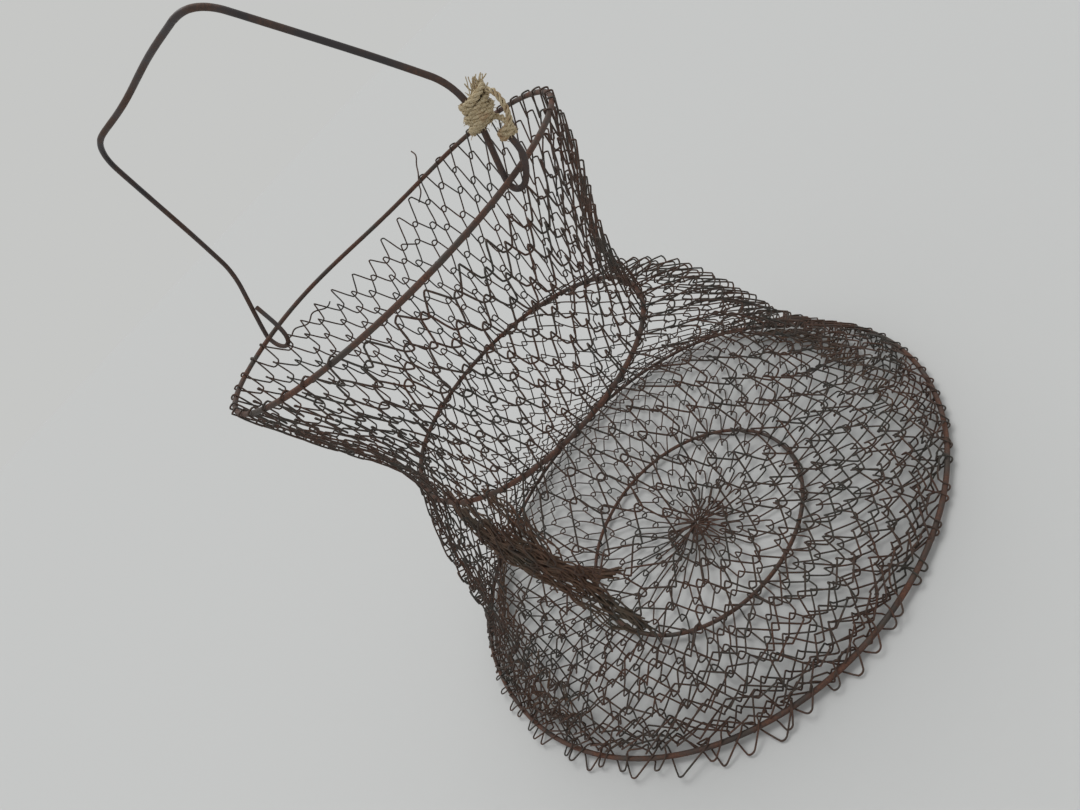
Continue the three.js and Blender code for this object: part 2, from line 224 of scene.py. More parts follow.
# Bail: one wire, measured from the middle between its hooks, which is off the rim's middle. Above its kinks
# it wavers up and out in waves, for which the length of a radian is given. Steps along the grip keep it
# straight where its corners are rounded.
BAIL_WIRE = 2.5
BAIL_SIDES = 14
BAIL_PITTING = 0.04
BAIL_OFFSET = 16.0
BAIL_HEIGHT = 112.0
BAIL_WAVER = 0.5
WAVER_RISE = 30
WAVE_UP = 11.0
WAVE_OUT = 17.0
WAVE_OUT_START = 1.0
GRIP_STEPS = (0.15, 0.3, 0.45, 0.6)
GRIP_HALF = 55.5
GRIP_FORWARD = 13.5
GRIP_CORNER = 14.0
KINK_HEIGHT = 35.0
KINK_INSET = 2.3
KINK_BACK = 10.0
KINK_CORNER = 10.0
CORNER_POINTS = 6
# Each hook goes from the leg round under the rim wire to the end of its tail: across from the wire, and up.
LEFT_HOOK = ((-9.8, 0.5), (-9.2, -3.0), (-6.5, -7.2), (-2.6, -9.6), (1.5, -10.4), (6.1, -8.6), (7.4, -4.2),
             (5.6, 2.8), (-0.2, 14.5))
RIGHT_HOOK = ((-1.6, 19.6), (-5.1, 0.6), (-4.8, -2.8), (-3.0, -4.9), (-0.4, -5.4), (2.2, -4.6), (5.6, -1.0),
              (8.3, 4.2), (6.3, 12.9))

# Twine: it goes round the end of one hook's tail, across to the leg and round that in a frayed knot. Places
# are across from the rim wire, up from it, and out of the bail's plane. What is uneven ripples, by a size and
# at a rate in each turn.
TWINE_STRAND = 1.25
TWINE_STRANDS = 3
STRAND_SIDES = 6
STRAND_OFF = 0.55
STRAND_UNEVEN = (0.12, 3.1)
NEVER_ALONG_TWINE = (0.3, 0.2, 1.0)
TWINE_LAY = 8.0
TWINE_PITTING = 0.2
STRAND_PITTING_SCALE = 700.0
TAIL_END = (6.6, 11.4)
TAIL_TURNS = 2
TAIL_CLIMB = 3
TAIL_POINTS = 50
TWINE_CROSSING = ((8.5, 15.5, 0.5), (5.5, 17.5, 2.6), (2.0, 19.5, 3.0), (0.8, 18.8, 1.5))
TWINE_BRIDGE = ((2.0, 25.5, 3.0), (6.0, 27.0, 2.5), (9.5, 26.0, 1.5), (11.5, 20.0, 0.5), (10.5, 15.5, 0.0),
                (8.4, 12.5, -1.0), (6.0, 11.8, -2.4), (4.2, 12.6, 0.0))
BRIDGE_STRAND = 1.0
# The knot's turns climb and sink along the leg and lie in layers, unevenly, and wander.
KNOT_TURNS = 13
KNOT_LAYERS = 2
KNOT_BULGE = 2.3
KNOT_UNEVEN = (0.25, 1.3)
KNOT_FOOT = 19.8
KNOT_HEIGHT = 8.2
KNOT_CLIMBS = 1.5
KNOT_CROSSING = (0.9, 0.61)
KNOT_ASIDE = -1.2
KNOT_LUMP = 1.6
KNOT_POINTS = 330
KNOT_WANDER = 0.6
# Loose fibres stand off the twine, but not off its first points, and its end is a brush of thicker ones.
TWINE_FIBRE = 0.24
FIBRE_SIDES = 4
FIBRE_STEPS = 7
LOOSE_FIBRES = 300
FIRST_LOOSE = 20
LOOSE_LENGTHS = (1.5, 4.5)
LOOSE_CURL = 0.45
TUFT_PLACE = (1.5, 27.0, 3.0)
TUFT_WAY = (0.0, 0.83, 0.55)
TUFT_LENGTH = 6.5
TUFT_SHARES = (0.6, 1.15)
TUFT_FIBRES = 80
TUFT_FIBRE = 0.5
TUFT_WIDTH = 1.0
TUFT_FAN = 0.16
TUFT_CURL = 0.1

# Finishes: the depth of their relief in metres, and the colours of the twine.
RUST_RELIEF = 0.0003
TWINE_RELIEF = 0.0004
TWINE_TAN = (0.36, 0.27, 0.145)
# Painted highlight: the paler tone of the twine where light falls on it, mixed in over the fibres at random.
TWINE_PAINTED_HIGHLIGHT = (0.62, 0.53, 0.36)
# Rust stain from the wire and painted shade: the brown of the twine's shaded parts, laid on in patches at
# random.
TWINE_STAIN_AND_SHADE = (0.30, 0.16, 0.07)

# Stage: pale floor and backdrop, even light all round and one wide soft lamp overhead.
FLOOR_COLOUR = (0.60, 0.605, 0.595)
FLOOR_REACH = 12.0
BACKDROP_COLOUR = (0.565, 0.57, 0.56)
WORLD_COLOUR = (0.98, 0.99, 1.0)
WORLD_LEVEL = 0.58
SUN_LEVEL = 1.25
SUN_PLACE = (-0.5, 0.6, 1.8)
SUN_WIDTH = 45.0

SEED = 11
rng = np.random.default_rng(SEED)

UP = np.array([0.0, 0.0, 1.0])


def unit(vectors):
    """Vectors brought to a length of one."""
    return vectors / np.linalg.norm(vectors, axis=-1, keepdims=True)


def by_angle(knots, angle):
    """A value that is given at some angles and runs evenly between them, all the way round."""
    angles, values = zip(*knots)
    return np.interp(angle, angles, values, period=360)


def ways_at(angle):
    """The ways outwards and round the basket, at angles."""
    turn = np.radians(angle)
    flat = np.zeros_like(turn)
    outward = np.stack([np.cos(turn), np.sin(turn), flat], -1)
    return outward, np.stack([-np.sin(turn), np.cos(turn), flat], -1)


@dataclass
class Ring:
    """A round hoop: its middle, the radius to the middle of its wire, its wire, its waver and its dents."""

    centre: np.ndarray
    radius: float
    half_wire: float
    waver: np.ndarray
    dents: tuple

    @property
    def wrap(self):
        """From the hoop's middle line to that of a mesh wire that goes round it."""
        return self.half_wire + MESH_WIRE / 2 + HOOP_CLEARANCE

    def edge(self, angle):
        """Points on the middle line of the hoop's wire, which was closed by hand and is never quite round."""
        turn = np.radians(angle)
        radius = np.full_like(turn, self.radius)
        height = np.zeros_like(turn)
        for place, width, out, up in self.dents:
            share = np.exp(-((((angle - place + 180) % 360 - 180) / width) ** 2))
            radius = radius + out * share
            height = height + up * share
        for waves, (start, lift) in zip(HOOP_WAVES, self.waver):
            radius = radius + HOOP_WAVER / waves * np.sin(waves * turn + start)
            height = height + HOOP_WAVER / waves * np.sin(waves * turn + lift)
        return self.centre + np.stack([radius * np.cos(turn), radius * np.sin(turn), height], -1)


def ring_of(node):
    """The hoop that a node of the frame stands for."""
    low, high = (np.array(corner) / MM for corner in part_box(node))
    half_wire = HOOP_WIRES[node] / 2
    radius = (high[0] - low[0]) / 2 - half_wire
    waver = rng.uniform(0, 2 * math.pi, (len(HOOP_WAVES), 2))
    return Ring((low + high) / 2, radius, half_wire, waver, HOOP_DENTS.get(node, ()))


rings = {node: ring_of(node) for node in HOOP_WIRES}


# Nodes and materials.


def link(tree, source, target):
    tree.links.new(source, target)


def noise_mask(tree, scale, detail, low, high):
    """A noise on Object coordinates, opened up between two of its levels; scale is a number or a socket."""
    place = tree.nodes.new("ShaderNodeTexCoord")
    noise = tree.nodes.new("ShaderNodeTexNoise")
    noise.inputs["Detail"].default_value = detail
    noise.inputs["Roughness"].default_value = 0.6
    link(tree, place.outputs["Object"], noise.inputs["Vector"])
    if isinstance(scale, float):
        noise.inputs["Scale"].default_value = scale
    else:
        link(tree, scale, noise.inputs["Scale"])
    mask = tree.nodes.new("ShaderNodeMapRange")
    mask.inputs["From Min"].default_value = low
    mask.inputs["From Max"].default_value = high
    link(tree, noise.outputs["Fac"], mask.inputs["Value"])
    return noise.outputs["Fac"], mask.outputs["Result"]


def rust_skin_group():
    """Shared by the wires: faded stretches, rust patches, fine flecks, and the height of the pitted skin."""
    group = bpy.data.node_groups.new("rust_skin", "ShaderNodeTree")
    for name, value in (("Fade Scale", 14.0), ("Patch Scale", 60.0), ("Fleck Scale", 900.0)):
        socket = group.interface.new_socket(name, in_out="INPUT", socket_type="NodeSocketFloat")
        socket.default_value = value
    for name in ("Faded", "Patches", "Flecks", "Height"):
        group.interface.new_socket(name, in_out="OUTPUT", socket_type="NodeSocketFloat")
    entry = group.nodes.new("NodeGroupInput")
    leave = group.nodes.new("NodeGroupOutput")
    _, faded = noise_mask(group, entry.outputs["Fade Scale"], detail=2.0, low=0.40, high=0.62)
    broad, patches = noise_mask(group, entry.outputs["Patch Scale"], detail=5.0, low=0.40, high=0.62)
    fine, flecks = noise_mask(group, entry.outputs["Fleck Scale"], detail=3.0, low=0.44, high=0.66)
    height = group.nodes.new("ShaderNodeMath")
    height.operation = "MULTIPLY_ADD"
    height.inputs[1].default_value = 0.5
    link(group, broad, height.inputs[0])
    link(group, fine, height.inputs[2])
    link(group, faded, leave.inputs["Faded"])
    link(group, patches, leave.inputs["Patches"])
    link(group, flecks, leave.inputs["Flecks"])
    link(group, height.outputs["Value"], leave.inputs["Height"])
    return group


def mixed_colour(tree, factor, first, second):
    """A colour mix; first and second are colours or the sockets that give them."""
    mix = tree.nodes.new("ShaderNodeMix")
    mix.data_type = "RGBA"
    link(tree, factor, mix.inputs["Factor"])
    for socket, colour in ((mix.inputs["A"], first), (mix.inputs["B"], second)):
        if isinstance(colour, tuple):
            socket.default_value = (*colour, 1.0)
        else:
            link(tree, colour, socket)
    return mix.outputs["Result"]


def product(tree, first, second):
    """Two sockets, multiplied."""
    node = tree.nodes.new("ShaderNodeMath")
    node.operation = "MULTIPLY"
    link(tree, first, node.inputs[0])
    link(tree, second, node.inputs[1])
    return node.outputs["Value"]


def scaled(tree, value, low, high):
    """A share from 0 to 1, as a value from low to high."""
    node = tree.nodes.new("ShaderNodeMapRange")
    node.inputs["To Min"].default_value = low
    node.inputs["To Max"].default_value = high
    link(tree, value, node.inputs["Value"])
    return node.outputs["Result"]


def relief(tree, height, strength, distance):
    """The normal of a skin with that height."""
    node = tree.nodes.new("ShaderNodeBump")
    node.inputs["Strength"].default_value = strength
    node.inputs["Distance"].default_value = distance
    link(tree, height, node.inputs["Height"])
    return node.outputs["Normal"]


@dataclass
class WireFinish:
    """The colours of a wire: its dark skin, where it has faded, its rust and fresh rust in flecks."""

    dark: tuple
    faded: tuple
    rust: tuple
    bloom: tuple
    metallic: float
    roughness: tuple
    patch_scale: float
    fleck_scale: float
    bump: float


def wire_material(name, skin, finish):
    """Old wire with rust on it, in patches."""
    material = bpy.data.materials.new(name)
    material.use_nodes = True
    tree = material.node_tree
    shader = tree.nodes["Principled BSDF"]
    effect = tree.nodes.new("ShaderNodeGroup")
    effect.node_tree = skin
    effect.inputs["Patch Scale"].default_value = finish.patch_scale
    effect.inputs["Fleck Scale"].default_value = finish.fleck_scale
    patches = effect.outputs["Patches"]
    colour = mixed_colour(tree, effect.outputs["Faded"], finish.dark, finish.faded)
    colour = mixed_colour(tree, patches, colour, finish.rust)
    colour = mixed_colour(tree, product(tree, patches, effect.outputs["Flecks"]), colour, finish.bloom)
    link(tree, colour, shader.inputs["Base Color"])
    link(tree, scaled(tree, patches, *finish.roughness), shader.inputs["Roughness"])
    shader.inputs["Metallic"].default_value = finish.metallic
    normal = relief(tree, effect.outputs["Height"], finish.bump, RUST_RELIEF)
    link(tree, normal, shader.inputs["Normal"])
    return material


def twine_material():
    """Old jute: tan fibres with a paler painted highlight mixed in at random over them, and patches of rust
    stain from the wire, whose brown is partly painted shade.
    """
    material = bpy.data.materials.new("frayed_twine")
    material.use_nodes = True
    tree = material.node_tree
    shader = tree.nodes["Principled BSDF"]
    fine, fibres = noise_mask(tree, 1500.0, detail=3.0, low=0.35, high=0.65)
    # Patches of rust stain that also carry painted shade.
    _, stain_and_shade_patches = noise_mask(tree, 160.0, detail=3.0, low=0.52, high=0.72)
    # Painted highlight, mixed in over the fibres at random.
    colour = mixed_colour(tree, fibres, TWINE_TAN, TWINE_PAINTED_HIGHLIGHT)
    link(tree, mixed_colour(tree, stain_and_shade_patches, colour, TWINE_STAIN_AND_SHADE), shader.inputs["Base Color"])
    link(tree, scaled(tree, fibres, low=0.85, high=1.0), shader.inputs["Roughness"])
    link(tree, relief(tree, fine, strength=0.6, distance=TWINE_RELIEF), shader.inputs["Normal"])
    return material


# Wires: a node tree that sweeps a round, slightly uneven section along a path.


def wire_tree():
    tree = bpy.data.node_groups.new("wire_along_its_path", "GeometryNodeTree")
    for name, kind in (("Path", "Geometry"), ("Wire Radius", "Float"), ("Sides", "Int"), ("Pitting", "Float"),
                       ("Pitting Scale", "Float"), ("Seed", "Float"), ("Material", "Material")):
        tree.interface.new_socket(name, in_out="INPUT", socket_type="NodeSocket" + kind)
    tree.interface.new_socket("Wire", in_out="OUTPUT", socket_type="NodeSocketGeometry")
    nodes = tree.nodes
    entry = nodes.new("NodeGroupInput")
    leave = nodes.new("NodeGroupOutput")
    section = nodes.new("GeometryNodeCurvePrimitiveCircle")
    place = nodes.new("GeometryNodeInputPosition")
    noise = nodes.new("ShaderNodeTexNoise")
    noise.noise_dimensions = "4D"
    centred = nodes.new("ShaderNodeMapRange")
    centred.inputs["To Min"].default_value = -1.0
    centred.inputs["To Max"].default_value = 1.0
    scale = nodes.new("ShaderNodeMath")
    scale.operation = "MULTIPLY_ADD"
    scale.inputs[2].default_value = 1.0
    sweep = nodes.new("GeometryNodeCurveToMesh")
    sweep.inputs["Fill Caps"].default_value = True
    smooth = nodes.new("GeometryNodeSetShadeSmooth")
    paint = nodes.new("GeometryNodeSetMaterial")
    for source, out, target, into in (
            (entry, "Wire Radius", section, "Radius"), (entry, "Sides", section, "Resolution"),
            (place, "Position", noise, "Vector"), (entry, "Pitting Scale", noise, "Scale"),
            (entry, "Seed", noise, "W"), (noise, "Fac", centred, "Value"), (centred, "Result", scale, 0),
            (entry, "Pitting", scale, 1), (entry, "Path", sweep, "Curve"),
            (section, "Curve", sweep, "Profile Curve"), (scale, "Value", sweep, "Scale"),
            (sweep, "Mesh", smooth, "Geometry"), (smooth, "Geometry", paint, "Geometry"),
            (entry, "Material", paint, "Material"), (paint, "Geometry", leave, "Wire")):
        link(tree, source.outputs[out], target.inputs[into])
    return tree


WIRE = wire_tree()


def path_object(name, loops, runs):
    """A curve object with one spline for each path of points: closed loops and open runs."""
    curve = bpy.data.curves.new(name + "_path", "CURVE")
    curve.dimensions = "3D"
    for points, closed in [(loop, True) for loop in loops] + [(run, False) for run in runs]:
        spline = curve.splines.new("POLY")
        spline.points.add(len(points) - 1)
        places = np.ones((len(points), 4))
        places[:, :3] = np.asarray(points) * MM
        spline.points.foreach_set("co", places.ravel())
        spline.use_cyclic_u = closed
    made = bpy.data.objects.new(name + "_path", curve)
    bpy.context.scene.collection.objects.link(made)
    return made


def swept(name, diameter, sides, material, loops=(), runs=(), pitting=0.05, pitting_scale=400.0):
    """A plain mesh of wires that follow the paths."""
    guide = path_object(name, loops, runs)
    modifier = guide.modifiers.new("wire", "NODES")
    modifier.node_group = WIRE
    values = {"Wire Radius": diameter / 2 * MM, "Sides": sides, "Pitting": pitting,
              "Pitting Scale": pitting_scale, "Seed": float(SEED), "Material": material}
    for item in WIRE.interface.items_tree:
        if item.in_out == "INPUT" and item.name in values:
            modifier[item.identifier] = values[item.name]
    graph = bpy.context.evaluated_depsgraph_get()
    mesh = bpy.data.meshes.new_from_object(guide.evaluated_get(graph), depsgraph=graph)
    mesh.name = name
    guide.modifiers.remove(modifier)
    curve = guide.data
    bpy.data.objects.remove(guide)
    bpy.data.curves.remove(curve)
    return mesh


def piece_of(name, *meshes):
    """One object of one or more meshes that have the same material."""
    whole = meshes[0]
    if len(meshes) > 1:
        joined = bmesh.new()
        for mesh in meshes:
            joined.from_mesh(mesh)
        joined.to_mesh(whole)
        joined.free()
    piece = bpy.data.objects.new(name, whole)
    bpy.context.scene.collection.objects.link(piece)
    return piece


# Hoops.


def hoop_path(ring):
    """A hoop's middle line, in short steps."""
    steps = max(LEAST_HOOP_STEPS, int(2 * math.pi * ring.radius / HOOP_STEP))
    return ring.edge(np.linspace(0, 360, steps, endpoint=False))


# Mesh.


@dataclass
class Zone:
    """A stretch of mesh from one hoop to the next, with its own slack."""

    upper: Ring
    lower: Ring
    rows: int
    bends: int = BENDS
    bulge: float = 0.0
    hollow: float = 0.0
    fuller: float = 0.0
    flatter: float = 0.0
    eased: float = 0.0
    shingle: float = 0.0
    swell: float = SLACK_SWELL
    depth: float = SPIRAL_DEPTH
    upper_bend: float = TIGHT_BEND
    lower_bend: float = ROUND_BEND
    creased: bool = False
    free_edge: bool = False
    heaped: bool = False
    folds: bool = False

    def radius_at(self, share):
        """The radius at a share of the way down, on straight lines between the hoops."""
        return self.upper.radius + (self.lower.radius - self.upper.radius) * share


def near_base(zone, share):
    """How far on the way to the base ring a share of a zone is, if the zone has that ring at one end."""
    if zone.lower is rings["base_ring"]:
        return share
    return 1 - share if zone.upper is rings["base_ring"] else 0 * share


def row_levels(zone):
    """Where the rows meet, as shares of the way down: rows are short where the mesh is spread wide."""
    shares = (np.arange(zone.rows) + 0.5) / zone.rows
    reach = math.pi * zone.radius_at(shares) / zone.bends
    height = np.sqrt(np.maximum(MESH_LEG ** 2 - reach ** 2, LEAST_ROW ** 2))
    near = near_base(zone, shares)
    last = np.where(near > 1 - 1 / zone.rows, LAST_ROW, 1.0)
    height = height * (1 - CROWDING * near ** CROWDING_POWER) * last
    return np.concatenate([[0], np.cumsum(height) / height.sum()])


# The wall's swelling is greatest at a fifth of the way down, and its hollow at two thirds.
SWELLING_PEAK = 0.2 * 0.8 ** 4
HOLLOW_PEAK = (2 / 3) ** 2 / 3


def facing(zone, angle):
    """How much fuller, or if negative flatter, a zone hangs at angles."""
    share = np.cos(np.radians(angle - FULLER_ANGLE))
    return share * np.where(share > 0, zone.fuller, zone.flatter)


def slack(zone, angle, share):
    """How far slack mesh stands off the straight cone, outwards, at angles and shares."""
    inside = np.clip(share, 0, 1)
    arch = 4 * inside * (1 - inside)
    high = inside * (1 - inside) ** 4 / SWELLING_PEAK
    low = inside ** 2 * (1 - inside) / HOLLOW_PEAK
    turn = np.radians(angle)
    swell = sum(rise * np.sin(waves * turn + shift * share + start)
                for waves, shift, rise, start in SWELL_WAVES)
    fuller = facing(zone, angle)
    eased = 1 - zone.eased * np.clip(fuller, 0, 1)
    return zone.bulge * high * (1 + fuller) - zone.hollow * low * eased + zone.swell * swell * arch


def zone_place(zone, angle, share):
    """Points on the slack mesh."""
    _, round_ = ways_at(angle)
    top = zone.upper.edge(angle)
    chord = zone.lower.edge(angle) - top
    side = unit(np.cross(chord, round_))
    return top + chord * share[..., None] + side * slack(zone, angle, share)[..., None]


def nearest_on(line, points):
    """The nearest places on a line of straight stretches, their widths, and the way along the line there."""
    best = np.full(len(points), np.inf)
    found = np.zeros((len(points), 4))
    along = np.zeros_like(points)
    for start, end in zip(line[:-1], line[1:]):
        run = (end - start)[:3]
        share = np.clip((points - start[:3]) @ run / (run @ run), 0, 1)
        place = start + share[:, None] * (end - start)
        off = np.linalg.norm(points - place[:, :3], axis=1)
        nearer = off < best
        best[nearer] = off[nearer]
        found[nearer] = place[nearer]
        along[nearer] = run
    return found[:, :3], found[:, 3], along


def outer_side(points):
    """The way out of the slack wall at places on it: upwards near the ground, where it lies flat."""
    steep = np.clip(points[:, 2:] / STEEP_HEIGHT, 0, 1)
    return unit(points * np.array([1.0, 1.0, 0.0]) * steep + STEEP_HEIGHT * UP)


def drawn_together(points):
    """Gathers places on the mesh along the creases, the more the nearer they are, mostly from one side."""
    for line in CREASES:
        place, width, along = nearest_on(np.array(line, float), points)
        off = points - place
        slack_side = np.einsum("ij,ij->i", off, np.cross(along, outer_side(place))) > 0
        width = np.where(slack_side, SLACK_SIDE * width, width)
        share = np.clip(np.linalg.norm(off, axis=1) / width, 0, 1)
        keep = (GATHER_LEAST + (1 - GATHER_LEAST) * share ** 2)[:, None]
        points = place + off * keep + rng.normal(0, GATHER_DEPTH, points.shape) * (1 - keep)
    return points


def zone_frame(zone, angle, share):
    """Places on the mesh with the ways along the row, down, and out of its outer side."""
    step, turn = 0.004, 0.2
    down = unit(zone_place(zone, angle, share + step) - zone_place(zone, angle, share - step))
    along = unit(zone_place(zone, angle + turn, share) - zone_place(zone, angle - turn, share))
    face = unit(np.cross(down, along))
    return zone_place(zone, angle, share), np.cross(face, down), down, face


@dataclass
class Joints:
    """The places on one level where the bends of two rows hook together, or are held by a hoop."""

    point: np.ndarray
    along: np.ndarray
    down: np.ndarray
    face: np.ndarray
    reach: np.ndarray
    depth: np.ndarray
    lift: np.ndarray
    held: np.ndarray


def joints_at(zone, level, share, phase):
    """The joints of one level, which is a share of the way down its zone."""
    count = zone.bends
    at_hoop = level in (0, zone.rows)
    angle = (np.arange(count) + phase) * 360 / count
    stray = rng.normal(0, BEND_STRAY + CROWDED_STRAY * near_base(zone, share) ** STRAY_POWER, (2, count))
    reach = BEND_OVERLAP / 2 * rng.uniform(*OVERLAP_SHARES, count)
    depth = zone.depth * rng.uniform(*DEPTH_SHARES, count)
    angle = angle + np.degrees(stray[0] / max(zone.radius_at(share), LEAST_STRAY_RADIUS))
    span = zone_place(zone, angle, np.ones(count)) - zone_place(zone, angle, np.zeros(count))
    length = np.linalg.norm(span, axis=-1)
    shares = np.full(count, share)
    held = np.full(count, at_hoop)
    flat = near_base(zone, share) ** SHINGLE_POWER
    lift = zone.shingle * np.clip(facing(zone, angle), 0, None) * (1 - flat)
    if at_hoop:
        ring = zone.upper if level == 0 else zone.lower
        reach[:] = ring.wrap
        depth[:] = ring.wrap
        lift[:] = 0
    else:
        shares = shares + stray[1] / length
    if zone.free_edge:
        drop = by_angle(FREE_EDGE, angle)
        loose = drop > LEAST_FREE
        if level == 0:
            drop = drop * loose * rng.uniform(*FREE_SHARES, count)
            reach[loose] = BEND_OVERLAP / 2
            depth[loose] = SPIRAL_DEPTH
            held = ~loose
        shares = shares + drop / length * (1 - share) ** 2
    point, along, down, face = zone_frame(zone, angle, shares)
    if zone.creased and not at_hoop:
        point = drawn_together(point)
    return Joints(point, along, down, face, reach, depth, lift, held)


ARC_STEPS = np.linspace(-1, 1, 5)


def lean(joints, target):
    """The lean of each leg from the way down, on its way to its next joint."""
    leg = target - joints.point
    across = np.abs(np.einsum("ij,ij->i", leg, joints.along))
    fall = np.abs(np.einsum("ij,ij->i", leg, joints.down))
    return np.clip(np.arctan2(across, fall), *map(math.radians, LEG_LEANS))


def bend_arcs(joints, left, right, size, upward):
    """Rounded bends, crossing from one side of the mesh to the other."""
    spread = np.where(ARC_STEPS[None] < 0, (math.pi / 2 - lean(joints, left))[:, None],
                      (math.pi / 2 - lean(joints, right))[:, None]) * ARC_STEPS[None]
    way = -1 if upward else 1
    radius = np.minimum(size, WIDEST_BEND * joints.reach)
    radius = (radius * rng.uniform(*BEND_SIZES, len(radius)))[:, None]
    across = radius * np.sin(spread)
    down = way * (joints.reach[:, None] - radius + radius * np.cos(spread))
    depth = way * (joints.depth[:, None] * np.sin(ARC_STEPS * math.pi / 2)[None] + joints.lift[:, None])
    return (joints.point[:, None] + across[..., None] * joints.along[:, None]
            + down[..., None] * joints.down[:, None] + depth[..., None] * joints.face[:, None])


def base_loops(ring, count, phase, inward):
    """Bends at the base ring: each comes straight from the mesh, goes under the ring, out past it to a
    rounded tip, and back over it."""
    angle = (np.arange(count) + phase + rng.normal(0, LOOP_STRAY, count)) * 360 / count
    outward, round_ = ways_at(angle)
    free = by_angle(LOOP_OUT, angle) * rng.uniform(*LOOP_LENGTHS, count)
    out = ring.wrap + free
    half = LOOP_HALF + free * rng.uniform(*LOOP_WIDTHS, count)
    skew = rng.normal(LOOP_LEAN, LOOP_LEAN_STRAY, count) * free
    droop = rng.uniform(*LOOP_DROOPS, count) * ring.wrap * np.clip(free / DROOPING_LOOP, LEAST_DROOP, 1)
    tip = np.minimum(LOOP_TIP + TIP_GROWTH * free, TIP_FIT * half + TIP_LEAST)
    tip = (tip * rng.uniform(*TIP_SIZES, count))[:, None]
    spread = (math.pi / 2 - np.arctan2(half, out))[:, None] * ARC_STEPS[None]
    across = skew[:, None] + tip * np.sin(spread)
    forth = out[:, None] - tip + tip * np.cos(spread)
    rise = droop[:, None] + LOOP_CROSSING * ARC_STEPS[None]
    foot = np.zeros((count, 1))
    across = np.concatenate([-half[:, None], across, half[:, None]], 1)
    forth = np.concatenate([foot, forth, foot], 1)
    rise = np.concatenate([foot - ring.wrap, rise, foot + ring.wrap], 1)
    middle = ring.edge(angle)[:, None]
    loops = (middle + across[..., None] * round_[:, None] + forth[..., None] * outward[:, None]
             + rise[..., None] * UP)
    leg = inward * LOOP_LEG * rng.uniform(*LEG_LENGTHS, (count, 1))
    aside = LEG_SPREAD * round_
    first = (loops[:, 0] + leg - aside)[:, None]
    last = (loops[:, -1] + leg + aside)[:, None]
    return np.concatenate([first, loops, last], 1)


def heaped_bends(ring, count, phase):
    """The last bends of the floor: over the centre ring and into a heap at its middle."""
    angle = (np.arange(count) + phase) * 360 / count
    outward, round_ = ways_at(angle + rng.normal(0, HEAP_STRAY, count))
    near = HEAP_RADIUS * rng.uniform(*HEAP_SHARES, count)
    height = ring.wrap + HEAP_HEIGHT * rng.uniform(0, 1, count)
    points = [ring.centre + round_ * across + outward * (near + forth)[:, None]
              + (height + rise)[:, None] * UP for across, forth, rise in HEAP_BEND]
    return np.stack(points, 1)


def off_ground(path):
    """A path with nothing lower than a wire that lies on the ground."""
    return np.maximum(path, np.array([-np.inf, -np.inf, LEAST_HEIGHT]))


def corners_cut(first, second):
    """Two points on each straight stretch of a path, at a quarter and three quarters of it."""
    return np.stack([0.75 * first + 0.25 * second, 0.25 * first + 0.75 * second], 1).reshape(-1, 3)


def softened(loop):
    """Cuts the corners of a closed path."""
    return corners_cut(loop, np.roll(loop, -1, 0))


def rounded(points, passes):
    """Cuts the corners of an open path, a few times over."""
    points = np.asarray(points, float)
    for _ in range(passes):
        points = np.concatenate([points[:1], corners_cut(points[:-1], points[1:]), points[-1:]])
    return points


@dataclass
class MeshWires:
    """The wires of a zone: whole rows, open stretches, and the bends round the hoops above and below it."""

    rows: list
    stretches: list
    upper_bends: list
    lower_bends: list


def cut_at_legs(row, bends, top_points, upper):
    """The bends on the upper or the lower side of a closed row, and the stretches from one to the next."""
    parts = np.roll(row, 1, 0).reshape(bends, -1, 3)
    tops, bottoms = parts[:, :2 * top_points], parts[:, 2 * top_points:]
    if upper:
        return tops, np.concatenate([tops[:, -1:], bottoms, np.roll(tops, -1, 0)[:, :1]], 1)
    return bottoms, np.concatenate([np.roll(bottoms, 1, 0)[:, -1:], tops, bottoms[:, :1]], 1)


def zone_wires(zone, phase):
    """The wires of a zone, and the phase that the next zone starts with. Each level is half a bend further
    round than the one above. Where the zone folds, the bends that its hoops hold are cut off, because they
    stay as they are."""
    levels = row_levels(zone)
    phases = phase + 0.5 * np.arange(zone.rows + 1)
    joints = [joints_at(zone, k, levels[k], phases[k]) for k in range(zone.rows + 1)]
    base = rings["base_ring"]
    wires = MeshWires([], [], [], [])
    for row in range(zone.rows):
        top, bottom = joints[row], joints[row + 1]
        last = row == zone.rows - 1
        tops = bend_arcs(top, np.roll(bottom.point, 1, 0), bottom.point, zone.upper_bend, upward=True)
        bottoms = bend_arcs(bottom, top.point, np.roll(top.point, -1, 0), zone.lower_bend, upward=False)
        if row == 0 and zone.upper is base:
            tops = base_loops(base, zone.bends, phases[row], top.down)
        if last and zone.lower is base:
            bottoms = base_loops(base, zone.bends, phases[row + 1], -bottom.down)
        if last and zone.heaped:
            bottoms = heaped_bends(zone.lower, zone.bends, phases[row + 1])
        path = off_ground(softened(np.concatenate([tops, bottoms], 1).reshape(-1, 3)))
        if not zone.folds or 0 < row < zone.rows - 1:
            wires.rows.append(path)
            continue
        bends, stretches = cut_at_legs(path, zone.bends, tops.shape[1], upper=row == 0)
        held = top.held if row == 0 else bottom.held
        (wires.upper_bends if row == 0 else wires.lower_bends).extend(bends[held])
        wires.stretches.extend([*stretches, *bends[~held]])
    return wires, phases[-1] + 0.5


def run_of(points):
    """How far along a path each of its points is."""
    return np.concatenate([[0], np.cumsum(np.linalg.norm(np.diff(points, axis=0), axis=1))])


def on_knots(at, run, knots):
    """Values between the knots of a line, at lengths along its run."""
    return np.stack([np.interp(at, run, column) for column in knots.T], -1)


